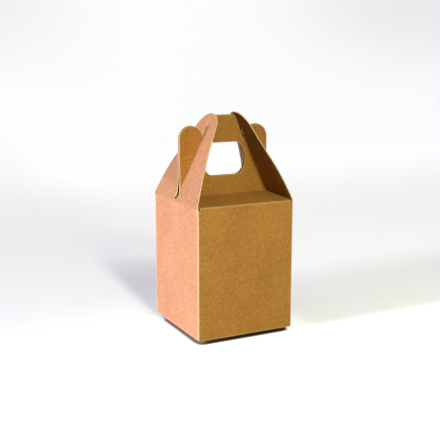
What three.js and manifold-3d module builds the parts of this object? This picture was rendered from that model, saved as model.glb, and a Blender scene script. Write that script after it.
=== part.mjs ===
// Kraft board gift box, folded from one die-cut sheet: four walls, a snap-lock bottom, two lid panels
// that rise into a double carrying handle, and two lock flaps that lean in over the handle's ears.
// Millimetres, +Z up, front towards -Y, origin on the table under the middle of the box.

import * as THREE from 'three';
import { mergeVertices } from 'three/addons/utils/BufferGeometryUtils.js';
import Module from 'manifold-3d';

// Board and box
const board = 0.5;
const width = 60;
const depth = 60;
const wallHeight = 75;
const creaseStep = 0.65;
const foldRelief = 1.2;
const foldRadius = 0.6;
const clearance = 0.3;

// Bottom flaps, which sag from the walls to a flat middle that stands on the table
const bottomLift = 2;
const sagBand = 13.75;
const layerGap = 0.15;
const frontFlapDepth = 30;
const frontFlapTaper = 2.5;
const tongueWidth = 24;
const tongueLength = 12.75;
const tongueRun = 4.5;
const tongueCorner = 4;
const sideFlapReach = 28.75;
const sideFlapHook = 13;
const sideFlapRear = 21.5;
const backFlapLeg = 38.75;
const backFlapTaper = 1.5;
const backNotchDepth = 15.5;

// Glue flap, inside the back wall at its left end
const glueFlapWidth = 12;
const glueFlapInset = 4;

// Lid panels and the two handle plies that stand up from them
const lidRise = 1.87;
const lidTaper = 0.9;
const plyGap = 0.3;
const handleHeight = 47.1;
const handleTopHalf = 7.2;
const handleCorner = 2.2;
const earTop = 41.4;
const earRadius = 7.4;
const notchRadius = 0.7;
const holeWidth = 27.6;
const holeHeight = 18.9;
const holeBase = 12.6;
const holeEnd = 6.8;

// Lock flaps
const flapRootInset = 0.5;
const slitReserve = 4.85;
const bridge = 6.3;
const shoulderDrop = 9.8;
const shoulderHalf = 14.2;
const waistHalf = 25;
const waistHeight = 21;
const shoulderEase = 0.25;
const crownHalf = 9;

// Places that follow from the sizes above
const hingeX = width / 2 - board / 2;
const wallY = depth / 2 - board / 2;
const frontCrease = bottomLift + wallHeight;
const sideCrease = frontCrease + creaseStep;
const seatHeight = frontCrease - board;
const hingeZ = sideCrease - board / 2;
const sideWallTop = hingeZ - board / 2 - clearance;
const frontFoldZ = bottomLift + board / 2;
const layer = board + layerGap;
const sideFoldZ = frontFoldZ + layer;
const plyInner = plyGap / 2;
const plyOuter = plyInner + board;
const lidHalf = width / 2 - board - clearance;
const ridgeHalf = lidHalf - lidTaper;
const ridgeZ = frontCrease + lidRise;
const earX = ridgeHalf - earRadius;
const earZ = frontCrease + earTop - earRadius;
const notchX = earX - earRadius - notchRadius;
const handleTop = frontCrease + handleHeight;

// The lock flap leans in until its inner face lies one clearance from the handle's upper corner
const cornerAcross = hingeX - handleTopHalf;
const cornerUp = handleTop - hingeZ;
const cornerReach = Math.hypot(cornerAcross, cornerUp);
const flapLean = Math.atan2(cornerAcross, cornerUp) - Math.asin((board / 2 + clearance) / cornerReach);

// The slit runs past the furthest point of the ear, seen from the hinge, so the flap can swing off it
const earReach = Math.hypot(hingeX - earX, earZ - hingeZ) + earRadius;
const slitHalf = plyOuter + clearance;
const slitTop = earReach + slitReserve;
const flapHeight = slitTop + bridge;

const curveSteps = 14;
const bendSteps = 5;

const wasm = await Module();
wasm.setup();

function toSolid(geometry) {
  const bare = geometry.clone();
  bare.deleteAttribute('normal');
  bare.deleteAttribute('uv');
  const merged = mergeVertices(bare, 1e-5);
  return new wasm.Manifold(new wasm.Mesh({
    numProp: 3,
    vertProperties: new Float32Array(merged.attributes.position.array),
    triVerts: new Uint32Array(merged.index.array),
  }));
}

function toGeometry(solid) {
  const mesh = solid.getMesh();
  const geometry = new THREE.BufferGeometry();
  geometry.setAttribute('position', new THREE.BufferAttribute(new Float32Array(mesh.vertProperties), 3));
  geometry.setIndex(new THREE.BufferAttribute(new Uint32Array(mesh.triVerts), 1));
  geometry.computeVertexNormals();
  return geometry;
}

function join(solids) {
  return solids.reduce((whole, solid) => whole.add(solid));
}

function outline(points) {
  return new THREE.Shape(points.map(([x, y]) => new THREE.Vector2(x, y)));
}

// A flat outline given as its right half, from the bottom up, and closed by its mirror image
function mirrored(path) {
  const right = path.getPoints(curveSteps);
  const left = right.map((p) => new THREE.Vector2(-p.x, p.y)).reverse();
  return new THREE.Shape([...right, ...left.filter((p) => p.x < 0)]);
}

// One layer of board on an outline, centred on its own plane
function sheet(shape, thickness = board, curveSegments = curveSteps) {
  const geometry = new THREE.ExtrudeGeometry(shape, { depth: thickness, bevelEnabled: false, curveSegments });
  return geometry.translate(0, 0, -thickness / 2);
}

// An outline drawn in X and Z stands across Y, and one drawn in Y and Z stands across X
const standAcrossY = new THREE.Matrix4().set(1, 0, 0, 0, 0, 0, -1, 0, 0, 1, 0, 0, 0, 0, 0, 1);
const standAcrossX = new THREE.Matrix4().set(0, 0, 1, 0, 1, 0, 0, 0, 0, 1, 0, 0, 0, 0, 0, 1);

function acrossY(shape, y, thickness, curveSegments) {
  return toSolid(sheet(shape, thickness, curveSegments).applyMatrix4(standAcrossY).translate(0, y, 0));
}

function acrossX(shape, x, thickness, curveSegments) {
  return toSolid(sheet(shape, thickness, curveSegments).applyMatrix4(standAcrossX).translate(x, 0, 0));
}

// How far the bottom is lifted at a place: nothing in the flat middle, all of bottomLift at the walls
function sag(x, y) {
  const fromWall = Math.min(hingeX - Math.abs(x), wallY - Math.abs(y));
  return bottomLift * Math.max(0, 1 - fromWall / sagBand);
}

const diagonal = Math.SQRT1_2;
const sagLines = [
  [[1, 0], hingeX - sagBand],
  [[-1, 0], hingeX - sagBand],
  [[0, 1], wallY - sagBand],
  [[0, -1], wallY - sagBand],
  [[diagonal, -diagonal], (hingeX - wallY) * diagonal],
  [[-diagonal, diagonal], (hingeX - wallY) * diagonal],
  [[diagonal, diagonal], (hingeX - wallY) * diagonal],
  [[-diagonal, -diagonal], (hingeX - wallY) * diagonal],
];

// A bottom flap: its flat outline is parted along the bend lines and each part laid at its own height
function laidFlap(points, ownLines, ownHeight) {
  let parts = [toSolid(sheet(outline(points)))];
  for (const [[nx, ny], offset] of [...sagLines, ...ownLines]) {
    parts = parts.flatMap((part) => part.splitByPlane([nx, ny, 0], offset)).filter((part) => !part.isEmpty());
  }
  return join(parts.map((part) => {
    const geometry = toGeometry(part);
    const place = geometry.attributes.position;
    for (let i = 0; i < place.count; i += 1) {
      const x = place.getX(i);
      const y = place.getY(i);
      place.setZ(i, place.getZ(i) + frontFoldZ - bottomLift + sag(x, y) + ownHeight(x, y));
    }
    return toSolid(geometry);
  }));
}

// Front bottom flap, the outermost, whose tongue climbs through the back flap's notch
function frontBottomFlap() {
  const root = hingeX - foldRelief - layer;
  const edge = root - frontFlapTaper;
  const front = -wallY;
  const freeEdge = front + frontFlapDepth;
  const tip = freeEdge + tongueLength;
  const tongue = tongueWidth / 2;
  const right = [[root, front], [edge, freeEdge], [tongue, freeEdge], [tongue, tip - tongueCorner],
    [tongue - tongueCorner, tip]];
  const left = right.map(([x, y]) => [-x, y]).reverse();
  const climb = (x, y) => 3 * layer * Math.min(1, Math.max(0, (y - freeEdge) / tongueRun));
  const lines = [[[0, 1], freeEdge], [[0, 1], freeEdge + tongueRun]];
  return laidFlap([...right, ...left], lines, climb);
}

// Side bottom flap: a hook that reaches the middle in front of the tongue and stops short behind it
function sideBottomFlap(side) {
  const front = -wallY;
  const root = front + foldRelief + layer;
  const hookRear = front + frontFlapDepth - clearance;
  const inner = hingeX - tongueWidth / 2 - clearance;
  const points = [
    [0, root],
    [inner, root + layer],
    [sideFlapReach, hookRear - sideFlapHook],
    [sideFlapReach, hookRear - layer],
    [inner - layer, hookRear],
    [inner - 2 * layer, hookRear + sideFlapHook / 2],
    [inner - sideFlapHook / 2, sideFlapRear - layer],
    [0, sideFlapRear],
  ];
  const placed = points.map(([reach, y]) => [side * (hingeX - reach), y]);
  return laidFlap(side > 0 ? placed.reverse() : placed, [], () => layer);
}

// Back bottom flap, the innermost, with a leg on each side of the notch that takes the tongue
function backBottomFlap() {
  const root = hingeX - foldRelief - layer;
  const legEnd = wallY - backFlapLeg;
  const notchBase = legEnd + backNotchDepth;
  const notch = tongueWidth / 2 + 2 * clearance;
  const chamfer = foldRelief;
  const right = [[notch, notchBase], [notch, legEnd + chamfer], [notch + chamfer, legEnd],
    [root - backFlapTaper - chamfer, legEnd], [root - backFlapTaper, legEnd + chamfer], [root, wallY]];
  const left = right.map(([x, y]) => [-x, y]).reverse();
  const settle = wallY - sideFlapRear - clearance;
  const heightAt = (x, y) => layer + layer * Math.min(1, Math.max(0, (wallY - y) / settle));
  return laidFlap([...right, ...left], [[[0, 1], wallY - settle]], heightAt);
}

// The four walls as one ring, stepped where the side panels are creased higher than the front
function wallRing() {
  const [outX, outY] = [width / 2, depth / 2];
  const [inX, inY] = [outX - board, outY - board];
  const [bendX, bendY] = [outX - foldRadius, outY - foldRadius];
  const plan = new THREE.Shape();
  plan.absarc(bendX, -bendY, foldRadius, -Math.PI / 2, 0, false);
  plan.absarc(bendX, bendY, foldRadius, 0, Math.PI / 2, false);
  plan.absarc(-bendX, bendY, foldRadius, Math.PI / 2, Math.PI, false);
  plan.absarc(-bendX, -bendY, foldRadius, Math.PI, Math.PI * 1.5, false);
  plan.holes.push(outline([[-inX, -inY], [-inX, inY], [inX, inY], [inX, -inY]]));
  const frontFoot = frontFoldZ - board / 4;
  const sideFoot = sideFoldZ - board / 4;
  const ringHeight = sideWallTop - frontFoot;
  const ring = toSolid(sheet(plan, ringHeight, bendSteps).translate(0, 0, frontFoot + ringHeight / 2));
  const stepY = inY - layerGap;
  const band = (from, to) => outline([[-width, from], [width, from], [width, to], [-width, to]]);
  const slab = (from, to, low, high) => toSolid(sheet(band(from, to), high - low).translate(0, 0, (low + high) / 2));
  const cuts = [
    slab(-depth, -stepY, seatHeight, seatHeight + lidRise),
    slab(stepY, depth, seatHeight, seatHeight + lidRise),
    slab(-stepY, depth, 0, sideFoot),
  ];
  for (const [x, y] of [[-1, -1], [1, -1], [1, 1], [-1, 1]]) {
    const peak = (y < 0 ? frontFoot : sideFoot) + foldRelief;
    const notch = sheet(outline([[-peak, 0], [peak, 0], [0, peak]]), 2 * foldRelief).applyMatrix4(standAcrossY);
    cuts.push(toSolid(notch.rotateZ((x * y > 0 ? -1 : 1) * Math.PI / 4).translate(x * bendX, y * bendY, 0)));
  }
  return cuts.reduce((walls, cut) => walls.subtract(cut), ring);
}

// Walls, glue flap and bottom flaps, folded from the one sheet and glued down one back corner
function cartonBody() {
  const glueFoot = sideFoldZ + foldRelief + glueFlapInset;
  const glueTop = seatHeight - glueFlapInset;
  const glueEnd = -hingeX + glueFlapWidth;
  const glueFlap = outline([
    [-hingeX, glueFoot - glueFlapInset / 2],
    [glueEnd, glueFoot + glueFlapInset],
    [glueEnd, glueTop - glueFlapInset],
    [-hingeX, glueTop + glueFlapInset / 2],
  ]);
  return join([
    wallRing(),
    acrossY(glueFlap, wallY - board + layerGap / 2, board + layerGap),
    frontBottomFlap(),
    sideBottomFlap(-1),
    sideBottomFlap(1),
    backBottomFlap(),
  ]);
}

// One handle ply: ears at both sides, a notch beside each for the lock flap, and the finger hole
function handleOutline() {
  const half = new THREE.Path();
  half.moveTo(ridgeHalf, ridgeZ);
  half.lineTo(ridgeHalf, earZ);
  half.absarc(earX, earZ, earRadius, 0, Math.PI, false);
  half.absarc(notchX, earZ, notchRadius, 0, -Math.PI, true);
  const edge = new THREE.Vector2(notchX - notchRadius - handleTopHalf, earZ - handleTop).normalize();
  half.lineTo(handleTopHalf + edge.x * handleCorner, handleTop + edge.y * handleCorner);
  half.quadraticCurveTo(handleTopHalf, handleTop, handleTopHalf - handleCorner, handleTop);
  const ply = mirrored(half);
  const holeX = holeWidth / 2 - holeEnd;
  const holeZ = frontCrease + holeBase + holeHeight / 2;
  const hole = new THREE.Path();
  hole.moveTo(holeX, holeZ - holeHeight / 2);
  hole.absellipse(holeX, holeZ, holeEnd, holeHeight / 2, -Math.PI / 2, Math.PI / 2, false);
  hole.absellipse(-holeX, holeZ, holeEnd, holeHeight / 2, Math.PI / 2, Math.PI * 1.5, false);
  ply.holes.push(hole);
  return ply;
}

// Lid panel and handle ply of the front, one strip of board that bends up along the ridge
function lidHandle() {
  const outer = depth / 2;
  const lidPitch = Math.atan2(lidRise, outer - plyOuter);
  const profile = new THREE.Shape();
  profile.moveTo(-outer, seatHeight);
  profile.lineTo(-outer, frontCrease - board / 2);
  profile.absarc(-outer + board / 2, frontCrease - board / 2, board / 2, Math.PI, Math.PI / 2, true);
  profile.lineTo(-plyOuter, ridgeZ);
  profile.lineTo(-plyInner, ridgeZ);
  profile.absarc(-plyOuter, ridgeZ, board, 0, -Math.PI / 2 + lidPitch, true);
  profile.lineTo(-outer + board, seatHeight);
  const panel = acrossX(profile, 0, 2 * lidHalf, bendSteps);
  const plan = outline([
    [-lidHalf, -outer],
    [lidHalf, -outer],
    [ridgeHalf, -plyInner],
    [-ridgeHalf, -plyInner],
  ]);
  const trim = toSolid(sheet(plan, handleTop).translate(0, 0, handleTop));
  const ply = acrossY(handleOutline(), -(plyInner + plyOuter) / 2);
  return panel.intersect(trim).add(ply);
}

// Lock flap, drawn upright on its hinge line: a rounded blade parted by the slit that the handle fills,
// given as the wings on both sides of the slit and the crown that joins them above it
function lockFlap() {
  const half = new THREE.Path();
  const rootHalf = depth / 2 - flapRootInset;
  const shoulder = new THREE.Vector2(shoulderHalf, flapHeight - shoulderDrop);
  const waist = new THREE.Vector2(waistHalf, waistHeight);
  const ease = shoulder.clone().sub(waist).multiplyScalar(shoulderEase).add(shoulder);
  half.moveTo(rootHalf, 0);
  half.quadraticCurveTo(waist.x, waist.y, shoulder.x, shoulder.y);
  half.bezierCurveTo(ease.x, ease.y, crownHalf, flapHeight, 0, flapHeight);
  const blade = mirrored(half);
  const root = new THREE.Shape();
  root.moveTo(board / 2, board / 4);
  root.absarc(0, 0, board / 2, 0, -Math.PI, true);
  root.lineTo(-board / 2, board / 4);
  const whole = acrossX(blade, 0).add(acrossY(root, 0, 2 * rootHalf, bendSteps));
  const besideSlit = whole.trimByPlane([0, 0, -1], -slitTop);
  return {
    front_wing: besideSlit.trimByPlane([0, -1, 0], slitHalf),
    back_wing: besideSlit.trimByPlane([0, 1, 0], slitHalf),
    crown: whole.trimByPlane([0, 0, 1], slitTop),
  };
}

function piece(name, solid, colour) {
  const material = new THREE.MeshStandardMaterial({ color: colour, roughness: 0.85, metalness: 0 });
  const mesh = new THREE.Mesh(toGeometry(solid), material);
  mesh.name = name;
  return mesh;
}

const box = new THREE.Group();
box.add(piece('carton_body', cartonBody(), 0xb07a42));

box.add(piece('front_lid_handle', lidHandle(), 0xa9733b));

const backLid = piece('back_lid_handle', lidHandle(), 0x9c6a37);
backLid.rotation.z = Math.PI;
box.add(backLid);

for (const [name, side] of [['left_flap', -1], ['right_flap', 1]]) {
  for (const [part, solid] of Object.entries(lockFlap())) {
    const flap = piece(`${name}_${part}`, solid, 0xc28a58);
    flap.position.set(side * hingeX, 0, hingeZ);
    flap.rotation.y = -side * flapLean;
    box.add(flap);
  }
}

export default box;
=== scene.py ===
import math

import bpy
import numpy as np
from mathutils import Matrix, Vector
from mathutils.geometry import delaunay_2d_cdt


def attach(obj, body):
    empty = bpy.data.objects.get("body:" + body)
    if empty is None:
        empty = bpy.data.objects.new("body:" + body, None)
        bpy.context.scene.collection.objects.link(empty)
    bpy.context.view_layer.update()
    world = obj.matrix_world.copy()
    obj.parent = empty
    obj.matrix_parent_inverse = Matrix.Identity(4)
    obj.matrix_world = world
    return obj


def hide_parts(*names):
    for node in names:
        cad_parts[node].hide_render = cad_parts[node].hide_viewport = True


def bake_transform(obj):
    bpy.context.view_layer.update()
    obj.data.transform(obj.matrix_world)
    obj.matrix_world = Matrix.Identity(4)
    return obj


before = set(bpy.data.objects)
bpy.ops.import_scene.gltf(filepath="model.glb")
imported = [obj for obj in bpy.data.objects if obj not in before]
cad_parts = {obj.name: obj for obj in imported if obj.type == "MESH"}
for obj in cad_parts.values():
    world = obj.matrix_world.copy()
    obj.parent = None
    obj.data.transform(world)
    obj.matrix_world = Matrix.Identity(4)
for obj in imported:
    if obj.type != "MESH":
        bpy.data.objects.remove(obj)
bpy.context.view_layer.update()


# The four walls are one run of kraft board, creased at the corners and closed by a glue flap that lies
# inside the back wall. The board is half a millimetre thick, plain brown on both faces, die cut from a
# larger sheet, so the cut edges show its paler core.

# Millimetres, here and wherever board is cut
BOARD = 0.5
MM = 0.001

# The blank's triangles: how far apart its points lie, and how many steps a bend takes
GRID_STEP = 1.6
FOLD_STEPS = 6
SHEET_MARGIN = 1.0
NO_LINE = 99.0

# No grid point lies nearer than this share of a step to the outline, or to a row at a fold
RIM_CLEAR, ROW_CLEAR = 0.45, 0.35

# The faces end a little inside the cut, and the cut edge bulges between them: up by a share of half the
# board, and out
FACE_INSET = 0.08
RIM_LEVELS = ((0.7, -0.015), (0.0, 0.03), (-0.7, -0.015))

# The map that the fibres follow: one unit is 100 mm of the flat blank
MAP_PER_MM = 0.01


def bent_path(corners, radius):
    """A line through the corners with rounded bends: where a length along it lies, and its bends."""
    spans, bends, length = [], [], 0.0
    start = Vector(corners[0])
    for k in range(1, len(corners)):
        corner = Vector(corners[k])
        along = (corner - start).normalized()
        if k == len(corners) - 1:
            spans.append((length, start, along, None, 0.0))
            length += (corner - start).length
            break
        onward = (Vector(corners[k + 1]) - corner).normalized()
        turn = math.atan2(along.x * onward.y - along.y * onward.x, along.dot(onward))
        reach = radius * math.tan(abs(turn) / 2)
        spans.append((length, start, along, None, 0.0))
        length += (corner - along * reach - start).length
        start = corner - along * reach
        centre = start + Vector((-along.y, along.x)) * math.copysign(radius, turn)
        spans.append((length, start, along, centre, math.copysign(1.0, turn)))
        bends.append((length, length + radius * abs(turn)))
        length += radius * abs(turn)
        start = corner + onward * reach

    def at(u):
        k = max(i for i in range(len(spans)) if i == 0 or spans[i][0] <= u)
        begin, start, along, centre, way = spans[k]
        if centre is None:
            return start + along * (u - begin), along
        angle = way * (u - begin) / radius
        spoke, c, s = start - centre, math.cos(angle), math.sin(angle)
        turned = Vector((c * spoke.x - s * spoke.y, s * spoke.x + c * spoke.y))
        return centre + turned, Vector((c * along.x - s * along.y, s * along.x + c * along.y))
    return at, bends, length


def resample(loop, step):
    """The same outline with points no further apart than step."""
    points = []
    for (x0, y0), (x1, y1) in zip(loop, loop[1:] + loop[:1]):
        count = max(1, math.ceil(math.hypot(x1 - x0, y1 - y0) / step))
        points += [(x0 + (x1 - x0) * i / count, y0 + (y1 - y0) * i / count) for i in range(count)]
    return points


def distance_to(points, segments):
    """How far each flat point is from the nearest of some line segments."""
    if not len(segments):
        return np.full(len(points), NO_LINE)
    seg = np.array(segments, float)
    a, d = seg[:, 0], seg[:, 1] - seg[:, 0]
    rel = points[:, None, :] - a[None]
    t = np.clip((rel * d).sum(2) / np.maximum((d * d).sum(1), 1e-12), 0, 1)
    return np.sqrt(((rel - t[..., None] * d) ** 2).sum(2)).min(1)


def inside(points, loops):
    """Which flat points lie on the board: inside its outline and outside its holes."""
    hits = np.zeros(len(points), int)
    for loop in loops:
        a = np.array(loop, float)
        b = np.roll(a, -1, 0)
        over = (a[None, :, 1] > points[:, None, 1]) != (b[None, :, 1] > points[:, None, 1])
        rise = np.where(np.abs(b[:, 1] - a[:, 1]) < 1e-12, 1e-12, b[:, 1] - a[:, 1])
        cross = a[None, :, 0] + (points[:, None, 1] - a[None, :, 1]) * ((b[:, 0] - a[:, 0]) / rise)[None]
        hits += (over & (points[:, None, 0] < cross)).sum(1)
    return hits % 2 == 1


def fold_rows(folds):
    """Where rows of points cross the blank so that it can bend: (axis, level) for each row."""
    rows = []
    for axis, begin, end in folds:
        steps = FOLD_STEPS if end > begin else 0
        rows += [(axis, begin + (end - begin) * i / max(1, steps)) for i in range(steps + 1)]
    return rows


def flat_sheet(loops, rows, low, high):
    """The flat blank in triangles: its outline, the rows at its folds and an even grid between them."""
    points, edges = [], []
    for loop in loops:
        first = len(points)
        points += loop
        edges += [(first + i, first + (i + 1) % len(loop)) for i in range(len(loop))]
    for axis, level in rows:
        span = high[1 - axis] - low[1 - axis]
        count = max(2, int(span / GRID_STEP))
        first = len(points)
        for i in range(count + 1):
            other = low[1 - axis] + span * i / count
            points.append((level, other) if axis == 0 else (other, level))
        edges += [(first + i, first + i + 1) for i in range(count)]
    columns = np.arange(low[0], high[0], GRID_STEP)
    levels = np.arange(low[1], high[1], GRID_STEP)
    grid = np.array([(x, y) for x in columns for y in levels])
    grid = grid[inside(grid, loops)]
    rims = [(loop[i], loop[(i + 1) % len(loop)]) for loop in loops for i in range(len(loop))]
    clear = distance_to(grid, rims) > GRID_STEP * RIM_CLEAR
    for axis, level in rows:
        clear &= np.abs(grid[:, axis] - level) > GRID_STEP * ROW_CLEAR
    points += [tuple(p) for p in grid[clear]]
    flat, _, faces, _, _, _ = delaunay_2d_cdt([Vector(p) for p in points], edges, [], 0, 1e-5)
    flat = np.array([tuple(v) for v in flat])
    faces = np.array([f for f in faces if len(f) == 3])
    faces = faces[inside(flat[faces].mean(1), loops)]
    used = np.unique(faces)
    renumber = np.full(len(flat), -1)
    renumber[used] = np.arange(len(used))
    return flat[used], renumber[faces]


def cut_rim(flat, faces, middle, normal, joined):
    """The sheet's edges that the die cut, and which way each of their points faces out of the sheet."""
    sides = dict.fromkeys((f[i], f[(i + 1) % 3]) for f in faces for i in range(3))
    open_edges = [e for e in sides if (e[1], e[0]) not in sides]
    rim_edges = [e for e in open_edges if not joined(*((flat[e[0]] + flat[e[1]]) / 2))]
    outward = np.zeros((len(flat), 3))
    for a, b in rim_edges:
        out = np.cross(middle[b] - middle[a], normal[a] + normal[b])
        out /= max(1e-9, np.linalg.norm(out))
        outward[a] += out
        outward[b] += out
    outward /= np.maximum(np.linalg.norm(outward, axis=1), 1e-9)[:, None]
    return rim_edges, outward


def keep_flat_position(mesh, flat, cuts, creases, side, blank):
    """What the board's materials read: the place on the blank, which face, how far to a cut or crease."""
    reads = (("to_cut", distance_to(flat, cuts)), ("to_fold", distance_to(flat, creases)),
             ("face_side", side))
    for key, values in reads:
        mesh.attributes.new(key, "FLOAT", "POINT").data.foreach_set("value", values.astype(np.float32))
    corners = np.zeros(len(mesh.loops), np.int32)
    mesh.loops.foreach_get("vertex_index", corners)
    uv = mesh.uv_layers.new(name="blank")
    uv.data.foreach_set("uv", ((flat[corners] + np.array(blank)) * MAP_PER_MM).ravel())


def board_piece(name, loops, place, folds, joined, materials, blank, rubbed=True):
    """Board cut to flat loops and bent to its place: two faces, a slightly rounded cut edge, and its
    flat position kept for the fibres. place gives the middle of the board and its outer side."""
    loops = [resample(loop, GRID_STEP) for loop in loops]
    outline = np.array(loops[0])
    low, high = outline.min(0) - SHEET_MARGIN, outline.max(0) + SHEET_MARGIN
    flat, faces = flat_sheet(loops, fold_rows(folds), low, high)
    count = len(flat)
    middle, normal = np.zeros((count, 3)), np.zeros((count, 3))
    for i, (u, v) in enumerate(flat):
        middle[i], normal[i] = place(u, v)
    corner = middle[faces]
    facing = np.cross(corner[:, 1] - corner[:, 0], corner[:, 2] - corner[:, 0])
    if (facing * normal[faces[:, 0]]).sum() < 0:
        faces = faces[:, ::-1]
    rim_edges, outward = cut_rim(flat, faces, middle, normal, joined)
    half = BOARD / 2
    on_rim = sorted({i for e in rim_edges for i in e})
    rank = {v: i for i, v in enumerate(on_rim)}
    verts = [middle + normal * half - outward * FACE_INSET, middle - normal * half - outward * FACE_INSET]
    for up, out in RIM_LEVELS:
        verts.append(middle[on_rim] + normal[on_rim] * half * up + outward[on_rim] * out)
    verts = np.concatenate(verts) * MM
    polygons = [tuple(f) for f in faces] + [tuple(f[::-1] + count) for f in faces]
    kinds = [0] * len(polygons)
    last = len(RIM_LEVELS) + 1

    def ring(level, v):
        if level == 0:
            return v
        if level == last:
            return v + count
        return 2 * count + (level - 1) * len(on_rim) + rank[v]
    for a, b in rim_edges:
        for level in range(last):
            polygons.append((ring(level, b), ring(level, a), ring(level + 1, a), ring(level + 1, b)))
            kinds.append(1)
    sharp = {tuple(sorted((a + face, b + face))) for a, b in rim_edges for face in (0, count)}
    mesh = bpy.data.meshes.new(name)
    mesh.from_pydata([tuple(v) for v in verts], [], [tuple(int(i) for i in p) for p in polygons])
    mesh.polygons.foreach_set("material_index", kinds)
    mesh.polygons.foreach_set("use_smooth", [True] * len(polygons))
    marks = mesh.attributes.new("sharp_edge", "BOOLEAN", "EDGE")
    marks.data.foreach_set("value", [tuple(sorted(e.vertices)) in sharp for e in mesh.edges])
    creases = []
    for axis, begin, end in folds if rubbed else ():
        level = (begin + end) / 2
        ends = ((level, low[1]), (level, high[1])) if axis == 0 else ((low[0], level), (high[0], level))
        creases.append(ends)
    side = np.concatenate([np.ones(count), -np.ones(count)]
                          + [np.full(len(on_rim), up) for up, _ in RIM_LEVELS])
    flat_all = np.concatenate([flat, flat] + [flat[on_rim]] * len(RIM_LEVELS))
    keep_flat_position(mesh, flat_all, [(flat[a], flat[b]) for a, b in rim_edges], creases, side, blank)
    for material in materials:
        mesh.materials.append(material)
    mesh.validate()
    piece = bpy.data.objects.new(name, mesh)
    bpy.context.scene.collection.objects.link(piece)
    return piece


def group_tree(name, inputs, outputs):
    """An empty shader node group: inputs are (label, kind, value), outputs are labels of masks."""
    tree = bpy.data.node_groups.new(name, "ShaderNodeTree")
    for label, kind, value in inputs:
        socket = tree.interface.new_socket(label, in_out="INPUT", socket_type=kind)
        if value is not None:
            socket.default_value = value
    for label in outputs:
        tree.interface.new_socket(label, in_out="OUTPUT", socket_type="NodeSocketFloat")
    return tree, tree.nodes.new("NodeGroupInput"), tree.nodes.new("NodeGroupOutput")


def math_node(tree, operation, a, b):
    node = tree.nodes.new("ShaderNodeMath")
    node.operation = operation
    for socket, value in zip(node.inputs, (a, b)):
        if isinstance(value, (int, float)):
            socket.default_value = value
        else:
            tree.links.new(value, socket)
    return node.outputs[0]


def noise_node(tree, vector, scale, detail, stretch=(1, 1, 1), turn=0.0, rough=0.55):
    mapping = tree.nodes.new("ShaderNodeMapping")
    mapping.inputs["Scale"].default_value = stretch
    mapping.inputs["Rotation"].default_value = (0, 0, turn)
    tree.links.new(vector, mapping.inputs["Vector"])
    noise = tree.nodes.new("ShaderNodeTexNoise")
    for key, value in (("Scale", scale), ("Detail", detail), ("Roughness", rough)):
        noise.inputs[key].default_value = value
    tree.links.new(mapping.outputs[0], noise.inputs["Vector"])
    return noise.outputs[0]


def range_node(tree, value, low, high, to_low=0.0, to_high=1.0):
    """Eases from to_low where the value is low to to_high where it is high."""
    node = tree.nodes.new("ShaderNodeMapRange")
    node.interpolation_type = "SMOOTHSTEP"
    for key, number in (("From Min", low), ("From Max", high), ("To Min", to_low), ("To Max", to_high)):
        node.inputs[key].default_value = number
    tree.links.new(value, node.inputs["Value"])
    return node.outputs[0]


def weighted(tree, *terms):
    """The sum of some values, each with its weight."""
    total = None
    for value, weight in terms:
        part = math_node(tree, "MULTIPLY", value, weight)
        total = part if total is None else math_node(tree, "ADD", total, part)
    return total


def kraft_fibres():
    """Cloudy mottle, a grain that runs up the sheet, pale and dark single fibres, and the relief."""
    inputs = [("Flat", "NodeSocketVector", None), ("Side", "NodeSocketFloat", 1.0)]
    tree, given, out = group_tree("kraft_fibres", inputs, ("Mottle", "Grain", "Pale", "Dark", "Height"))
    between_faces = 3.7
    shift = tree.nodes.new("ShaderNodeCombineXYZ")
    tree.links.new(math_node(tree, "MULTIPLY", given.outputs["Side"], between_faces), shift.inputs[2])
    add = tree.nodes.new("ShaderNodeVectorMath")
    add.operation = "ADD"
    tree.links.new(given.outputs["Flat"], add.inputs[0])
    tree.links.new(shift.outputs[0], add.inputs[1])
    flat = add.outputs[0]
    cloud = noise_node(tree, flat, scale=92.0, detail=4.0, stretch=(1.25, 0.9, 1), rough=0.72)
    broad = noise_node(tree, flat, scale=6.0, detail=2.0, stretch=(1.0, 0.7, 1))
    mottle = weighted(tree, (cloud, 0.8), (broad, 0.2))
    grain = noise_node(tree, flat, scale=160.0, detail=3.0, stretch=(2.4, 0.35, 1), rough=0.6)
    strands = []
    for turn, scale in ((0.1, 150.0), (-0.22, 130.0), (0.9, 120.0)):
        strand = noise_node(tree, flat, scale, detail=1.0, stretch=(3.4, 0.28, 1), turn=turn)
        strands.append(range_node(tree, strand, low=0.63, high=0.72))
    pale = math_node(tree, "MAXIMUM", strands[0], strands[1])
    specks = noise_node(tree, flat, scale=110.0, detail=1.0, stretch=(2.2, 0.6, 1), turn=0.3)
    dark = range_node(tree, specks, low=0.66, high=0.74)
    dark = math_node(tree, "MAXIMUM", dark, math_node(tree, "MULTIPLY", strands[2], 0.6))
    height = weighted(tree, (grain, 0.6), (pale, 0.5), (mottle, 0.8))
    for label, value in (("Mottle", mottle), ("Grain", grain), ("Pale", pale), ("Dark", dark),
                         ("Height", height)):
        tree.links.new(value, out.inputs[label])
    return tree


def rubbed_lines():
    """Where the board is rubbed: along its cut edges and on the outside of its creases."""
    inputs = [("To Cut", "NodeSocketFloat", 9.0), ("To Fold", "NodeSocketFloat", 9.0),
              ("Break", "NodeSocketFloat", 0.5)]
    tree, given, out = group_tree("rubbed_lines", inputs, ("Cut", "Fold"))
    uneven = math_node(tree, "SUBTRACT", given.outputs["Break"], 0.5)
    for label, source, reach, swing in (("Cut", "To Cut", 0.42, 0.8), ("Fold", "To Fold", 0.8, 1.1)):
        moved = math_node(tree, "SUBTRACT", given.outputs[source], math_node(tree, "MULTIPLY", uneven, swing))
        tree.links.new(range_node(tree, moved, 0.05, reach, to_low=1.0, to_high=0.0), out.inputs[label])
    return tree


FIBRES, RUBBED = kraft_fibres(), rubbed_lines()


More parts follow.
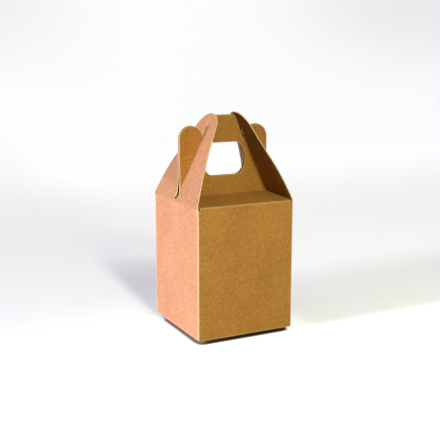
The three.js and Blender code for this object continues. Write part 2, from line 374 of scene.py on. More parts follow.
def mix_colour(tree, factor, a, b):
    node = tree.nodes.new("ShaderNodeMix")
    node.data_type = "RGBA"
    for socket, value in ((node.inputs["Factor"], factor), (node.inputs[6], a), (node.inputs[7], b)):
        if isinstance(value, tuple):
            socket.default_value = (*value, 1.0)
        elif isinstance(value, (int, float)):
            socket.default_value = value
        else:
            tree.links.new(value, socket)
    return node.outputs[2]


def shaded(colour, share):
    return tuple(share * c for c in colour)


def new_paint(name):
    material = bpy.data.materials.new(name)
    material.use_nodes = True
    return material, material.node_tree, material.node_tree.nodes["Principled BSDF"]


def read_node(tree, key):
    """A number that board_piece keeps on the mesh."""
    node = tree.nodes.new("ShaderNodeAttribute")
    node.attribute_name = key
    return node.outputs["Fac"]


def fibres_node(tree):
    """The fibres group, laid on the flat blank."""
    flat = tree.nodes.new("ShaderNodeUVMap")
    flat.uv_map = "blank"
    node = tree.nodes.new("ShaderNodeGroup")
    node.node_tree = FIBRES
    tree.links.new(flat.outputs[0], node.inputs["Flat"])
    return node, flat.outputs[0]


def roughen(tree, shader, height, strength, metres):
    bump = tree.nodes.new("ShaderNodeBump")
    bump.inputs["Strength"].default_value = strength
    bump.inputs["Distance"].default_value = metres
    tree.links.new(height, bump.inputs["Height"])
    tree.links.new(bump.outputs[0], shader.inputs["Normal"])


def kraft(name, light, deep, rub, painted_inner_shade):
    """Kraft board: brown pulp between a light and a deep tone, flecked with fibres, rubbed pale. Its inner
    face is painted darker by the last share given, as painted shade: that face sees little of the room."""
    material, tree, shader = new_paint(name)
    side = read_node(tree, "face_side")
    fibres, _ = fibres_node(tree)
    tree.links.new(side, fibres.inputs["Side"])
    lines = tree.nodes.new("ShaderNodeGroup")
    lines.node_tree = RUBBED
    tree.links.new(read_node(tree, "to_cut"), lines.inputs["To Cut"])
    tree.links.new(read_node(tree, "to_fold"), lines.inputs["To Fold"])
    tree.links.new(fibres.outputs["Grain"], lines.inputs["Break"])
    tone = range_node(tree, fibres.outputs["Mottle"], low=0.38, high=0.62)
    colour = mix_colour(tree, tone, deep, light)
    grain = range_node(tree, fibres.outputs["Grain"], low=0.36, high=0.64, to_high=0.42)
    colour = mix_colour(tree, grain, colour, light)
    colour = mix_colour(tree, math_node(tree, "MULTIPLY", fibres.outputs["Pale"], 0.42), colour, rub)
    flecks = math_node(tree, "MULTIPLY", fibres.outputs["Dark"], 0.55)
    colour = mix_colour(tree, flecks, colour, shaded(deep, 0.45))
    worn = math_node(tree, "MAXIMUM", math_node(tree, "MULTIPLY", lines.outputs["Cut"], 0.7),
                     math_node(tree, "MULTIPLY", lines.outputs["Fold"], 0.6))
    colour = mix_colour(tree, worn, colour, rub)
    # Painted shade: the inner face is painted darker, towards a deep brown
    inner = range_node(tree, side, low=-0.2, high=0.2, to_low=painted_inner_shade, to_high=0.0)
    colour = mix_colour(tree, inner, colour, shaded(deep, 0.35))
    tree.links.new(colour, shader.inputs["Base Color"])
    shader.inputs["Roughness"].default_value = 0.82
    shader.inputs["Specular IOR Level"].default_value = 0.18
    roughen(tree, shader, fibres.outputs["Height"], strength=0.35, metres=0.00012)
    return material


def cut_core(name, light, deep):
    """The board's cut edge: pale layers of pulp seen end on, crushed by the cutting rule."""
    material, tree, shader = new_paint(name)
    layers_through, layers_along = 3.0, 30
    fibres, flat = fibres_node(tree)
    depth = tree.nodes.new("ShaderNodeCombineXYZ")
    tree.links.new(math_node(tree, "MULTIPLY", read_node(tree, "face_side"), layers_through), depth.inputs[2])
    stretch = tree.nodes.new("ShaderNodeVectorMath")
    stretch.operation = "MULTIPLY_ADD"
    stretch.inputs[1].default_value = (layers_along,) * 3
    tree.links.new(flat, stretch.inputs[0])
    tree.links.new(depth.outputs[0], stretch.inputs[2])
    layers = tree.nodes.new("ShaderNodeTexNoise")
    tree.links.new(stretch.outputs[0], layers.inputs["Vector"])
    layers.inputs["Scale"].default_value = 1.6
    layers.inputs["Detail"].default_value = 3.0
    mixed = weighted(tree, (layers.outputs[0], 0.6), (fibres.outputs["Grain"], 0.4))
    colour = mix_colour(tree, range_node(tree, mixed, low=0.35, high=0.65), deep, light)
    tree.links.new(colour, shader.inputs["Base Color"])
    shader.inputs["Roughness"].default_value = 0.9
    roughen(tree, shader, mixed, strength=0.5, metres=0.00008)
    return material


# The run of the walls, seen from above: from the free end of the glue flap round to the back corner
WALL_AT, WALL_TOP, WALL_FOOT = 29.75, 76.3, 4.2
GLUE_WIDTH, GLUE_AT, BACK_END = 12.0, 29.2, 29.6
CORNER_RADIUS = 0.65
wall_plan = [(GLUE_WIDTH - WALL_AT, GLUE_AT), (-WALL_AT, GLUE_AT), (-WALL_AT, -WALL_AT), (WALL_AT, -WALL_AT),
             (WALL_AT, WALL_AT), (-BACK_END, WALL_AT)]
wall_at, wall_bends, wall_length = bent_path(wall_plan, CORNER_RADIUS)
wall_corners = [(a + b) / 2 for a, b in wall_bends]
GLUE_END = wall_corners[0]

# How far the left, front, right and back walls belly out, and the heights between which they do
BELLIES = (0.45, 0.3, 0.45, 0.2)
BELLY_FROM, BELLY_SPAN = 4, 72


def bow(distance, span, most):
    """A panel's slight outward belly, nothing at its two creases."""
    share = min(1.0, max(0.0, distance / span))
    return most * math.sin(math.pi * share) ** 2


def wall_place(u, v):
    (x, y), along = wall_at(u)
    normal = Vector((along.y, -along.x))
    out = 0.0
    for begin, end, most in zip(wall_corners, wall_corners[1:] + [wall_length], BELLIES):
        if begin < u < end:
            out = bow(u - begin, end - begin, most) * bow(v - BELLY_FROM, BELLY_SPAN, 1)
    return (x + normal.x * out, y + normal.y * out, v), (normal.x, normal.y, 0.0)


# The die's small nicks beside three of the top corners, where two creases would meet
NICK_FAR, NICK_NEAR, NICK_DEPTH = 1.15, 0.25, 0.85
nicks = []
for corner, way in ((wall_corners[3], 1), (wall_corners[2], -1), (wall_corners[1], 1)):
    far, near = corner + way * NICK_FAR, corner + way * NICK_NEAR
    nick = [(far, WALL_TOP), (far, WALL_TOP - NICK_DEPTH), (near, WALL_TOP - NICK_DEPTH), (near, WALL_TOP)]
    nicks += nick[::way]

# The glue flap's slanted ends: their height at its free edge and at its crease
GLUE_FOOT, GLUE_TOP = (15.0, 8.0), (66.5, 73.5)
wall_loop = [(0.0, GLUE_FOOT[0]), (GLUE_END, GLUE_FOOT[1]), (GLUE_END, WALL_FOOT), (wall_length, WALL_FOOT),
             (wall_length, WALL_TOP)] + nicks
wall_loop += [(GLUE_END, WALL_TOP), (GLUE_END, GLUE_TOP[1]), (0.0, GLUE_TOP[0])]

# How far the edges are cut free of the next panel at each corner, and at the top of the front right one
FREE_AT_CORNER, FREE_AT_FRONT_RIGHT = 0.55, 1.3
FREE_AT_GLUE, FREE_AT_END, TOUCH = 0.2, 0.5, 0.01


def wall_joined(u, v):
    """Whether an edge of the walls is a crease to a flap or a lid panel, rather than cut."""
    if u < GLUE_END + FREE_AT_GLUE or u > wall_length - FREE_AT_END:
        return False
    if min(abs(u - corner) for corner in wall_corners) < FREE_AT_CORNER:
        return False
    at_foot, at_top = v < WALL_FOOT + TOUCH, v > WALL_TOP - TOUCH
    return at_foot or (at_top and abs(u - wall_corners[2]) >= FREE_AT_FRONT_RIGHT)


BODY_KRAFT = kraft("kraft_walls", light=(0.72, 0.345, 0.078), deep=(0.50, 0.214, 0.034),
                   rub=(0.92, 0.67, 0.22), painted_inner_shade=0.36)
BODY_CORE = cut_core("kraft_walls_cut", light=(0.98, 0.76, 0.24), deep=(0.9, 0.64, 0.17))
walls = board_piece("walls", [wall_loop], wall_place, [(0, a, b) for a, b in wall_bends], wall_joined,
                    [BODY_KRAFT, BODY_CORE], blank=(0, 0))
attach(walls, "carton")
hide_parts("carton_body")


# The bottom is four flaps of the same board, folded in and hooked together without glue. The two side
# flaps are hook shaped and lie over the front flap; all of them sag a little to a flat middle.

SAG_BAND, LIFT, LAYER, FRONT_FOLD = 13.75, 2.0, 0.65, 2.25
FOOT_RADIUS, FLAT_RUN = 0.35, 60.0

# A flap's crease stops short of the corners: the notch at each end, and how deep it goes
CORNER_GAP, CREASE_GAP, RELIEF = 0.05, 0.45, 0.45


def sag(x, y):
    """How much higher a flap lies here than in the flat middle."""
    near = min(WALL_AT - abs(x), WALL_AT - abs(y))
    share = max(0.0, 1 - near / SAG_BAND)
    return LIFT * share


def bottom_place(wall, fold_z, own_height):
    """A flap that leaves the foot of a wall. wall: its turn about Z from the front, in quarter turns."""
    path, bends, _ = bent_path([(-WALL_AT, WALL_FOOT), (-WALL_AT, fold_z), (FLAT_RUN, fold_z)], FOOT_RADIUS)
    c, s = round(math.cos(wall * math.pi / 2)), round(math.sin(wall * math.pi / 2))

    def place(u, v):
        (y, z), along = path(v)
        at_x, at_y = c * u - s * y, s * u + c * y
        if y > -WALL_AT + FOOT_RADIUS and along.x > 0.99:
            z = FRONT_FOLD - LIFT + sag(at_x, at_y) + own_height(at_x, at_y)
        return (at_x, at_y, z), (-s * along.y, c * along.y, -along.x)
    return place, bends[0]


def bottom_loop(points, bend):
    """Flat outline of a bottom flap: the relief at both ends of its crease, then the given points."""
    base = (bend[0] + bend[1]) / 2
    first, last = points[0], points[-1]
    corner, relief = WALL_AT - CORNER_GAP, WALL_AT - CREASE_GAP
    return [(corner, 0.0), (corner, base - RELIEF), (relief, base), (first[0], base)] + \
        [(x, base + reach) for x, reach in points] + \
        [(last[0], base), (-relief, base), (-corner, base - RELIEF), (-corner, 0.0)]


def foot_joined(u, v):
    """The edge that a crease joins to the wall is where the flap's own length starts."""
    return v < TOUCH


def bottom_flap(name, points, wall, fold_z, own_height, creases=()):
    """A bottom flap of the given outline, creased at its wall, where it turns flat, and where told."""
    place, bend = bottom_place(wall, fold_z, own_height)
    folds = [(1, *bend)] + [(1, bend[1] + reach, bend[1] + reach) for reach in (SAG_BAND, *creases)]
    return board_piece(name, [bottom_loop(points, bend)], place, folds, foot_joined, [BODY_KRAFT, BODY_CORE],
                       blank=(0, 0))


# The hook's outline: across the box from its middle, and in from the crease
HOOK = [(27.9, 0.4), (27.25, 17.45), (13.05, 28.75), (0.7, 28.75), (0.05, 16.8), (-6.45, 16.15),
        (-20.85, 10.95), (-21.5, 0.4)]
for name, wall, outline in (("left", 3, HOOK), ("right", 1, [(-x, reach) for x, reach in HOOK[::-1]])):
    flap = bottom_flap("bottom_flap_" + name, outline, wall, FRONT_FOLD + LAYER, lambda x, y: LAYER)
    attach(flap, "carton")
    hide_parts("carton_body")


# The back bottom flap is cut from the same board and lies over the side flaps. The notch between its two
# legs takes the front flap's tongue.

BACK_RUN = 7.95


def back_height(x, y):
    """One layer up at its wall, and two once it has climbed onto the side flaps."""
    return LAYER + LAYER * min(1.0, max(0.0, (WALL_AT - y) / BACK_RUN))


def mirrored(half):
    """A whole outline from its right half: the same points follow in reverse on the left."""
    return half + [(-x, y) for x, y in reversed(half) if x > 1e-6]


LEGS = mirrored([(27.9, 0.4), (26.4, 37.55), (25.2, 38.75), (13.8, 38.75), (12.6, 37.55), (12.6, 23.25)])
back_flap = bottom_flap("bottom_flap_back", LEGS, 2, FRONT_FOLD + LAYER, back_height)
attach(back_flap, "carton")
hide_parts("carton_body")


# The front flap, of the same board, is outermost, on the table. Its tongue climbs through the back flap's
# notch and holds the bottom shut.

TONGUE_FROM, TONGUE_RUN, TONGUE_CREASE = 0.25, 4.5, 29.65


def front_height(x, y):
    """The tongue's climb over the three layers above it."""
    return 3 * LAYER * min(1.0, max(0.0, (y - TONGUE_FROM) / TONGUE_RUN))


TONGUE = mirrored([(27.9, 0.4), (25.4, 30.0), (12.0, 30.0), (12.0, 38.75), (8.0, 42.75)])
front_flap = bottom_flap("bottom_flap_front", TONGUE, 0, FRONT_FOLD, front_height, [TONGUE_CREASE])
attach(front_flap, "carton")
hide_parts("carton_body")


# Each lid panel, of the same board, rises gently from a crease at the top of its wall to the middle and
# bends up there into one ply of the handle. The two plies stand back to back; ears, notches and finger
# hole are cut in the same stroke.

# How far the handle's top stands to the right of the middle
LEAN_RIGHT = 0.95
SWAY_BELOW, SWAY_RUN = 8, 16
LID_CREASE, RIDGE_HEIGHT, PLY_OUT, PATH_TOP, LID_RADIUS = 76.76, 78.63, 0.31, 130.0, 0.3
LID_BELLY, BELLY_ACROSS = 0.35, 30

# How far each ply moves off the middle at the ridge, and over which heights above and below they close
PLY_OPEN, CLOSES_ABOVE, CLOSES_BELOW = 1.5, 20, 8

# The back ply slips a little to the left and up where the two are pinched together
SLIP_LEFT, SLIP_UP, SLIP_FROM, SLIP_RUN = 0.35, 0.25, 10, 8


# Near the ridge the left end is wider: by how much, from where across, and over how far each way
EXTRA_LEFT, EXTRA_FROM, EXTRA_ACROSS, EXTRA_ALONG = 0.5, 24, 4.3, 9


def sway(share):
    """The handle's lean to the right. share: 0 where a panel starts, 1 where all of it applies."""
    share = min(1.0, max(0.0, share))
    return LEAN_RIGHT * share * share * (3 - 2 * share)


def reach_left(x, height):
    """How much wider the strip is at its left end, next to the ridge, where it closes on the flap."""
    across = min(1.0, max(0.0, (-x - EXTRA_FROM) / EXTRA_ACROSS))
    return EXTRA_LEFT * across * max(0.0, 1 - abs(height - 1) / EXTRA_ALONG)


def plies_apart(height):
    if height > 0:
        return PLY_OPEN * max(0.0, 1 - height / CLOSES_ABOVE)
    return PLY_OPEN * max(0.0, 1 + height / CLOSES_BELOW) ** 2


def arc(cx, cy, rx, ry, begin, end, count):
    turns = [begin + (end - begin) * i / count for i in range(count + 1)]
    return [(cx + rx * math.cos(a), cy + ry * math.sin(a)) for a in turns]


lid_path, lid_bends, _ = bent_path([(-WALL_AT, WALL_TOP), (-WALL_AT, LID_CREASE), (-PLY_OUT, RIDGE_HEIGHT),
                                    (-PLY_OUT, PATH_TOP)], LID_RADIUS)
LID_START = lid_bends[0][1]
RIDGE = lid_bends[1][1]
RIDGE_Z = lid_path(RIDGE)[0].y


def handle_place(turn):
    """Where a strip of lid and handle lies. turn: 1 for the front strip, -1 for the back one."""
    def place(u, v):
        (y, z), along = lid_path(v)
        normal = (-along.y, along.x)
        rise, height = v - LID_START, v - RIDGE
        belly = 0.0
        if rise > 0 and v < RIDGE:
            belly = LID_BELLY * math.sin(math.pi * rise / (RIDGE - LID_START)) * math.cos(u / BELLY_ACROSS)
        x = turn * u + sway((height + SWAY_BELOW) / SWAY_RUN) - reach_left(turn * u, height)
        if turn < 0 and height > SLIP_FROM:
            slip = min(1.0, (height - SLIP_FROM) / SLIP_RUN)
            x, z = x - SLIP_LEFT * slip, z + SLIP_UP * slip
        return (x, turn * (y - plies_apart(height)), z + belly), (0.0, turn * normal[0], normal[1])
    return place


def handle_loops():
    """The strip's outline and its finger hole, flat. Heights of the handle are above the table."""
    start_half, strip_half, ridge_half = 28.5, 29.2, 28.3
    ear_z, ear_x, ear_r, notch_r = 111.0, 20.9, 7.4, 0.7
    notch_x, top, half_top, round_by = 12.8, 124.1, 7.2, 2.2
    hole_base, hole_rise, hole_end, hole_x = 12.6, 9.45, 6.8, 7.0
    front_crease = 77
    hole_z = front_crease + hole_base + hole_rise
    right = [(start_half, 0.0), (start_half, 1.6), (strip_half, 2.3), (ridge_half, RIDGE - 0.3),
             (ridge_half, RIDGE + 0.3)]
    rise = arc(ear_x, ear_z, ear_r, ear_r, 0, math.pi, 30)
    rise += arc(notch_x, ear_z, notch_r, notch_r, 0, -math.pi, 10)
    edge = Vector((notch_x - notch_r - half_top, ear_z - top)).normalized() * round_by
    corner = Vector((half_top, top))
    begin, end = corner + edge, Vector((half_top - round_by, top))
    for t in (0, 0.2, 0.4, 0.6, 0.8, 1):
        rise.append(tuple(begin * (1 - t) ** 2 + corner * 2 * t * (1 - t) + end * t * t))
    hole = arc(hole_x, hole_z, hole_end, hole_rise, -math.pi / 2, math.pi / 2, 24)
    hole += arc(-hole_x, hole_z, hole_end, hole_rise, math.pi / 2, 3 * math.pi / 2, 24)

    def along_strip(points):
        return [(x, RIDGE + z - RIDGE_Z) for x, z in points]
    return [mirrored(right + along_strip(rise)), along_strip(hole)]


# The lid is painted in a darker copy of the walls' kraft, as painted shade, and its inner faces all in
# painted shade
LID_KRAFT_SHADED = kraft("kraft_lid", light=(0.58, 0.272, 0.052), deep=(0.40, 0.172, 0.023), rub=(0.86, 0.6, 0.22),
                  painted_inner_shade=1.0)
LID_CORE = cut_core("kraft_lid_cut", light=(0.98, 0.75, 0.18), deep=(0.92, 0.63, 0.13))
for name, node, turn, blank in (("front_handle", "front_lid_handle", 1, (40, 90)),
                                ("back_handle", "back_lid_handle", -1, (160, 90))):
    strip = board_piece(name, handle_loops(), handle_place(turn), [(1, a, b) for a, b in lid_bends],
                        foot_joined, [LID_KRAFT_SHADED, LID_CORE], blank)
    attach(strip, "carton")
    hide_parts(node)


# The lock flaps are the tops of the side walls, in the same board: rounded blades creased along the wall,
# each with a slit that is pushed down over the handle's ears, so the ears spring out and hold it.

FLAP_CREASE, LEAN, FLAP_RADIUS, FLAP_RUN = 77.4, math.radians(25.2), 0.3, 60

# How far up the blade its crease lies
CREASE_AT = 1.1

# Above the ears the slit's lips stand apart, the back one more: from which height, over how long, how far
LIPS_FROM, LIPS_RUN, LIPS_REACH, BACK_LIP, FRONT_LIP = 33, 14, 4.5, 0.3, -0.12

# A wing bows out most at its outer edge and half way up: its half width, and the height that it bows over
WING_HALF, WING_RUN, LEAN_FULL_AT = 24, 56, 45

# The lock flaps are painted in a darker copy of the walls' kraft, as painted shade
FLAP_KRAFT_SHADED = kraft("kraft_flaps", light=(0.61, 0.295, 0.064), deep=(0.425, 0.186, 0.03),
                   rub=(0.88, 0.64, 0.22), painted_inner_shade=0.51)
FLAP_CORE = cut_core("kraft_flaps_cut", light=(0.98, 0.77, 0.25), deep=(0.9, 0.65, 0.18))


def flap_outline(height):
    """Half the blade's width at each height above its crease, then its rounded crown."""
    widths = [(4, 28.5), (10, 26.8), (15, 25.1), (20, 23.2), (25, 20.9), (30, 18.6), (35, 16.6), (40, 14.7),
              (44, 13.1)]
    right = [(29.5, 0.0), (29.5, CREASE_AT)] + [(w, r + CREASE_AT) for r, w in widths]
    shoulder, crown = Vector((13.1, 45.1)), Vector((0, height + CREASE_AT))
    out_of_shoulder, into_crown = Vector((11.2, 50.4)), Vector((6.2, height + CREASE_AT))
    steps = 16
    for i in range(1, steps + 1):
        t = i / steps
        p = shoulder * (1 - t) ** 3 + out_of_shoulder * 3 * t * (1 - t) ** 2
        p = p + into_crown * 3 * t * t * (1 - t) + crown * t ** 3
        right.append((p.x, p.y))
    return mirrored(right)


def flap_slit():
    """From the crease up: as wide as the two plies with room to slide, closing to a cut above the ears."""
    right = [(1.2, 1.25), (2.0, 3.6), (2.0, 4.6), (1.7, 9.0), (1.34, 14.0), (0.92, 20.0), (0.68, 24.0),
             (0.64, 43.0), (0.12, 44.0), (0.1, 47.6), (0.0, 48.0)]
    return mirrored(right)


def flap_place(side, front_out, back_out):
    """Where a blade lies, leaning in. front_out and back_out: how far its two wings bow outwards."""
    path, bends, _ = bent_path([(0.0, WALL_TOP), (0.0, FLAP_CREASE), (math.sin(LEAN) * FLAP_RUN,
                                FLAP_CREASE + math.cos(LEAN) * FLAP_RUN)], FLAP_RADIUS)

    def place(u, v):
        (across, z), along = path(v)
        normal = (-along.y, along.x)
        reach = max(0.0, v - CREASE_AT)
        away = (abs(u) / WING_HALF) ** 1.2 * math.sin(math.pi * min(1.0, reach / WING_RUN)) ** 0.9
        out = (front_out if u < 0 else back_out) * away
        x = side * (WALL_AT - across - normal[0] * out) + LEAN_RIGHT * min(1.1, reach / LEAN_FULL_AT)
        passed = math.sin(math.pi * min(1.0, max(0.0, (reach - LIPS_FROM) / LIPS_RUN)))
        lip = BACK_LIP if u > 0 else FRONT_LIP
        x += lip * max(0.0, passed) ** 0.6 * math.exp(-(u / LIPS_REACH) ** 2)
        return (x, u, z + normal[1] * out), (side * -normal[0], 0.0, normal[1])
    return place, bends


# side, name, how far the front and back wings bow out, height above the crease, place on the blank
for side, name, front_out, back_out, height, blank in ((-1, "left", 1.9, 1.2, 52.9, (-30, 90)),
                                                       (1, "right", 0.9, 3.6, 53.6, (120, 90))):
    place, bends = flap_place(side, front_out, back_out)
    blade = board_piece(name + "_flap_board", [flap_outline(height), flap_slit()], place,
                        [(1, a, b) for a, b in bends], foot_joined, [FLAP_KRAFT_SHADED, FLAP_CORE], blank,
                        rubbed=False)
    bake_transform(blade)
    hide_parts(name + "_flap_front_wing", name + "_flap_back_wing", name + "_flap_crown")


# Where the board is cut, single fibres of pulp stand out of the edge: finer than a hair and at most half
# a millimetre long, scattered by Geometry Nodes along every cut edge in the open.

# How many fibres grow on a square metre of cut edge, and above which heights, in metres
FIBRES_EACH, CARTON_ABOVE, FLAP_ABOVE = 4e6, 0.07, 0.0785


def fibre_tree():
    """A nodes tree that scatters short bent strands on an edge and turns them every way."""
    tree = bpy.data.node_groups.new("edge_fibres", "GeometryNodeTree")
    tree.interface.new_socket("Edge", in_out="INPUT", socket_type="NodeSocketGeometry")
    inputs = (("Per Square Metre", "NodeSocketFloat", FIBRES_EACH), ("Shortest", "NodeSocketFloat", 0.0001),
              ("Longest", "NodeSocketFloat", 0.0004), ("Thickness", "NodeSocketFloat", 0.04),
              ("Seed", "NodeSocketInt", 3), ("Paint", "NodeSocketMaterial", None))
    for label, kind, value in inputs:
        socket = tree.interface.new_socket(label, in_out="INPUT", socket_type=kind)
        if value is not None:
            socket.default_value = value
    tree.interface.new_socket("Fibres", in_out="OUTPUT", socket_type="NodeSocketGeometry")
    given, out = tree.nodes.new("NodeGroupInput").outputs, tree.nodes.new("NodeGroupOutput")

    def node(kind, **links):
        made = tree.nodes.new(kind)
        for key, value in links.items():
            socket = made.inputs[key.replace("_", " ")]
            if isinstance(value, bpy.types.NodeSocket):
                tree.links.new(value, socket)
            else:
                socket.default_value = value
        return made
    scatter = node("GeometryNodeDistributePointsOnFaces", Mesh=given["Edge"],
                   Density=given["Per Square Metre"], Seed=given["Seed"])
    bend = node("GeometryNodeCurveQuadraticBezier", Resolution=3, Start=(0, 0, -0.1), Middle=(0.3, 0.05, 0.5),
                End=(0.1, 0.35, 1.0))
    girth = node("GeometryNodeCurvePrimitiveCircle", Resolution=3, Radius=given["Thickness"])
    strand = node("GeometryNodeCurveToMesh", Curve=bend.outputs["Curve"],
                  Profile_Curve=girth.outputs["Curve"])
    tilt = node("FunctionNodeRandomValue", Seed=given["Seed"])
    tilt.data_type = "FLOAT_VECTOR"
    most_tilt = Vector((1.1, 1.1, 3.1))
    tilt.inputs["Min"].default_value, tilt.inputs["Max"].default_value = -most_tilt, most_tilt
    length = node("FunctionNodeRandomValue", Seed=given["Seed"])
    tree.links.new(given["Shortest"], length.inputs[2])
    tree.links.new(given["Longest"], length.inputs[3])
    turned = node("FunctionNodeRotateRotation", Rotation=scatter.outputs["Rotation"])
    turned.rotation_space = "LOCAL"
    tree.links.new(node("FunctionNodeEulerToRotation", Euler=tilt.outputs[0]).outputs[0], turned.inputs[1])
    placed = node("GeometryNodeInstanceOnPoints", Points=scatter.outputs["Points"],
                  Instance=strand.outputs["Mesh"], Rotation=turned.outputs[0], Scale=length.outputs[1])
    real = node("GeometryNodeRealizeInstances", Geometry=placed.outputs["Instances"])
    painted = node("GeometryNodeSetMaterial", Geometry=real.outputs["Geometry"], Material=given["Paint"])
    tree.links.new(painted.outputs["Geometry"], out.inputs["Fibres"])
    return tree


def loose_pulp(name, colour):
    """Loose fibres: the colour of the board's core, a little uneven along each edge."""
    material, tree, shader = new_paint(name)
    spot = tree.nodes.new("ShaderNodeTexCoord")
    cloud = noise_node(tree, spot.outputs["Object"], scale=900.0, detail=2.0)
    shade = mix_colour(tree, range_node(tree, cloud, low=0.3, high=0.7), shaded(colour, 0.7), colour)
    tree.links.new(shade, shader.inputs["Base Color"])
    shader.inputs["Roughness"].default_value = 0.9
    return material


def edge_fibres(name, sources, lowest, seed):
    """The rims of some pieces above a height, grown with fibres and turned into one plain mesh."""
    verts, faces = [], []
    for source in sources:
        first = len(verts)
        verts += [tuple(v.co) for v in source.data.vertices]
        faces += [tuple(first + i for i in f.vertices) for f in source.data.polygons
                  if f.material_index == 1 and f.center.z > lowest]
    rim = bpy.data.meshes.new(name + "_rim")
    rim.from_pydata(verts, [], faces)
    grown = bpy.data.objects.new(name, rim)
    bpy.context.scene.collection.objects.link(grown)
    modifier = grown.modifiers.new("fibres", "NODES")
    modifier.node_group = FIBRE_TREE
    sockets = {s.name: s.identifier for s in FIBRE_TREE.interface.items_tree if s.in_out == "INPUT"}
    for key, value in (("Per Square Metre", FIBRES_EACH), ("Seed", seed), ("Paint", LOOSE)):
        modifier[sockets[key]] = value
    bpy.context.view_layer.update()
    plain = bpy.data.meshes.new_from_object(grown.evaluated_get(bpy.context.evaluated_depsgraph_get()))
    grown.modifiers.remove(modifier)
    grown.data = plain
    return grown


FIBRE_TREE = fibre_tree()
LOOSE = loose_pulp("loose_fibres", (0.95, 0.7, 0.26))
handles = [bpy.data.objects["front_handle"], bpy.data.objects["back_handle"]]
carton_fibres = edge_fibres("carton_fibres", handles + [walls], CARTON_ABOVE, seed=3)
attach(carton_fibres, "carton")
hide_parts("front_lid_handle", "back_lid_handle")
for name, seed in (("left", 5), ("right", 7)):
    blade = bpy.data.objects[name + "_flap_board"]
    flap_fibres = edge_fibres(name + "_flap_fibres", [blade], FLAP_ABOVE, seed)
    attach(flap_fibres, name + "_flap")
    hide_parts(name + "_flap_front_wing", name + "_flap_back_wing", name + "_flap_crown")


# The table and the wall behind it are one pale painted sweep, so no edge shows behind the box. Its sizes
# are in metres. It glows a pale tone to the camera only, with painted light and shade in that glow, and
# the box's shadow from the lamps lies on it.

HALF_WIDTH, FRONT_EDGE, CURVE_FROM, CURVE_RADIUS, WALL_HEIGHT = 2.2, -1.6, 0.9, 0.6, 2.4
profile = [(FRONT_EDGE, 0.0)]
for a in np.linspace(0, math.pi / 2, 24):
    profile.append((CURVE_FROM + CURVE_RADIUS * math.sin(a), CURVE_RADIUS - CURVE_RADIUS * math.cos(a)))
profile.append((CURVE_FROM + CURVE_RADIUS, WALL_HEIGHT))
sweep = bpy.data.meshes.new("table")
sweep_points = [(x, y, z) for y, z in profile for x in (-HALF_WIDTH, HALF_WIDTH)]
strips = [(2 * i, 2 * i + 1, 2 * i + 3, 2 * i + 2) for i in range(len(profile) - 1)]
sweep.from_pydata(sweep_points, [], strips)
sweep.polygons.foreach_set("use_smooth", [True] * len(sweep.polygons))
table = bpy.data.objects.new("table", sweep)
bpy.context.scene.collection.objects.link(table)

table_paint, tree, shader = new_paint("table_paint")
shader.inputs["Roughness"].default_value = 0.8
shader.inputs["Specular IOR Level"].default_value = 0.1
spot = tree.nodes.new("ShaderNodeTexCoord")
cloud = noise_node(tree, spot.outputs["Object"], scale=9.0, detail=3.0)
paint = mix_colour(tree, range_node(tree, cloud, low=0.3, high=0.7), (0.54, 0.53, 0.36), (0.56, 0.55, 0.38))
split = tree.nodes.new("ShaderNodeSeparateXYZ")
tree.links.new(spot.outputs["Object"], split.inputs[0])
table_x, table_y, table_z = split.outputs


def product(tree, *masks):
    """Masks multiplied: full only where each of them is."""
    whole = masks[0]
    for mask in masks[1:]:
        whole = math_node(tree, "MULTIPLY", whole, mask)
    return whole


# Painted light and shade in its glow: paler towards the front, far behind and at the right,
# darker at the wall's two ends
near = range_node(tree, table_y, -0.08, 0.1, 0.82, 0.635)
far = range_node(tree, table_y, 0.2, 0.7, 0.0, 0.17)
aside = range_node(tree, table_x, -0.02, 0.12, 0.0, 0.08)
pale = math_node(tree, "ADD", math_node(tree, "ADD", near, far), aside)
ends = math_node(tree, "MAXIMUM", range_node(tree, table_x, 0.7, 1.3, 0.0, 0.12),
                 range_node(tree, table_x, 0.5, 0.1, 0.0, 0.12))
pale = math_node(tree, "SUBTRACT", pale, product(tree, ends, range_node(tree, table_z, 0.05, 0.3)))

# Painted shadow of the box: the glow is taken down behind the box and at its right side
skew = math_node(tree, "SUBTRACT", table_x, math_node(tree, "MULTIPLY", table_y, 0.093))
behind = product(tree, range_node(tree, skew, -0.042, -0.026), range_node(tree, skew, 0.03, 0.05, 1.0, 0.0),
                 range_node(tree, table_y, 0.1, 0.2, 1.0, 0.0), range_node(tree, table_y, 0.02, 0.04))
beside = product(tree, range_node(tree, table_x, 0.034, 0.055), range_node(tree, table_y, -0.036, -0.02),
                 range_node(tree, table_y, 0.03, 0.11, 1.0, 0.0))
pale = math_node(tree, "SUBTRACT", pale, math_node(tree, "MULTIPLY", behind, 0.17))
pale = math_node(tree, "SUBTRACT", pale, math_node(tree, "MULTIPLY", beside, 0.2))

# Painted shade right under the box: darker glow, a little less along the left wall, where it is painted brown
painted_contact_shade = tree.nodes.new("ShaderNodeAmbientOcclusion")
painted_contact_shade.inputs["Distance"].default_value = 0.004
open_sky = range_node(tree, painted_contact_shade.outputs["AO"], 0.42, 0.72)
under = product(tree, range_node(tree, table_x, -0.022, -0.0255), range_node(tree, table_y, -0.0285, -0.0265))
lit_under = math_node(tree, "MULTIPLY", under, 0.24)
pale = math_node(tree, "MULTIPLY", pale, math_node(tree, "MAXIMUM", open_sky, lit_under))
# Painted contact shade in the paint as well: dark brown where the box is close above
tree.links.new(mix_colour(tree, open_sky, (0.1, 0.06, 0.03), paint), shader.inputs["Base Color"])

tint = mix_colour(tree, range_node(tree, table_x, -0.3, 0.5), (0.99, 1.0, 1.07), (0.99, 1.01, 1.06))
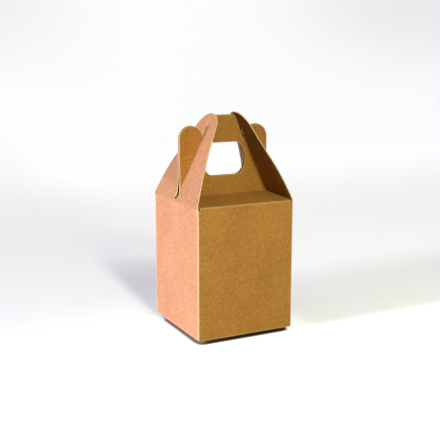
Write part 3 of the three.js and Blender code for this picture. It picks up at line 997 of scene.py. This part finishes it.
# Painted brown bounce light in the shade along the left wall
shade = product(tree, under, math_node(tree, "SUBTRACT", 1.0, open_sky))
tint = mix_colour(tree, shade, tint, (1.05, 0.74, 0.66))
glow = tree.nodes.new("ShaderNodeLightPath")
tree.links.new(tint, shader.inputs["Emission Color"])
tree.links.new(product(tree, glow.outputs["Is Camera Ray"], pale), shader.inputs["Emission Strength"])
sweep.materials.append(table_paint)


# Studio light: a low window light from the left in a narrowed beam, a warmer lamp in front and above, and
# a weak soft one overhead. The world is near white to the eye and to reflections only.

def area_light(name, place, aim, size, watts, colour, spread=180):
    data = bpy.data.lights.new(name, "AREA")
    data.shape, data.size, data.size_y = "RECTANGLE", size[0], size[1]
    data.energy, data.color, data.spread = watts, colour, math.radians(spread)
    lamp = bpy.data.objects.new(name, data)
    lamp.location = place
    lamp.rotation_euler = (Vector(aim) - Vector(place)).to_track_quat("-Z", "Y").to_euler()
    bpy.context.scene.collection.objects.link(lamp)


area_light("window_left", place=(-0.95, 0.10, 0.1), aim=(0, -0.14, 0.0), size=(0.4, 0.16), watts=2.36,
           colour=(1.0, 0.995, 2.75), spread=80)
area_light("lamp_front", place=(-0.12, -1.0, 0.62), aim=(0, 0, 0.05), size=(0.16, 0.16), watts=7.2,
           colour=(1.0, 0.99, 0.8))
area_light("soft_top", place=(0.1, 0.1, 1.4), aim=(0, 0, 0), size=(0.8, 0.8), watts=2.0,
           colour=(1.0, 0.85, 0.5))

world = bpy.data.worlds.new("room")
bpy.context.scene.world = world
world.use_nodes = True
tree = world.node_tree
shown = tree.nodes["Background"]
lit = tree.nodes.new("ShaderNodeBackground")
for background, colour, strength in ((shown, (0.95, 0.965, 0.98), 1.0), (lit, (1.0, 0.98, 0.94), 0.012)):
    background.inputs["Color"].default_value = (*colour, 1.0)
    background.inputs["Strength"].default_value = strength
rays = tree.nodes.new("ShaderNodeLightPath")
seen = math_node(tree, "MAXIMUM", rays.outputs["Is Camera Ray"], rays.outputs["Is Glossy Ray"])
seen = math_node(tree, "MAXIMUM", seen, rays.outputs["Is Transmission Ray"])
both = tree.nodes.new("ShaderNodeMixShader")
tree.links.new(seen, both.inputs[0])
tree.links.new(lit.outputs[0], both.inputs[1])
tree.links.new(shown.outputs[0], both.inputs[2])
tree.links.new(both.outputs[0], tree.nodes["World Output"].inputs[0])


# The camera stands in front and to the left of the box, a little higher than its handle, and looks
# slightly down. Its place is in metres; its right and up sides are set against the box's own creases.

CAMERA_PLACE = (-0.20944, -0.40727, 0.15457)
SENSOR_WIDTH, FOCAL_LENGTH, NEAREST = 36.0, 65.16, 0.01
camera_right, camera_up = Vector((0.89059, -0.4548, 0.0012)), Vector((0.08327, 0.16565, 0.98266))
camera_sides = Matrix((camera_right, camera_up, camera_right.cross(camera_up))).transposed()
lens = bpy.data.cameras.new("camera")
lens.sensor_width, lens.lens = SENSOR_WIDTH, FOCAL_LENGTH
lens.clip_start = NEAREST
camera = bpy.data.objects.new("camera", lens)
camera.matrix_world = Matrix.Translation(CAMERA_PLACE) @ camera_sides.to_4x4()
bpy.context.scene.collection.objects.link(camera)
bpy.context.scene.camera = camera
bpy.context.scene.view_settings.view_transform = "Standard"
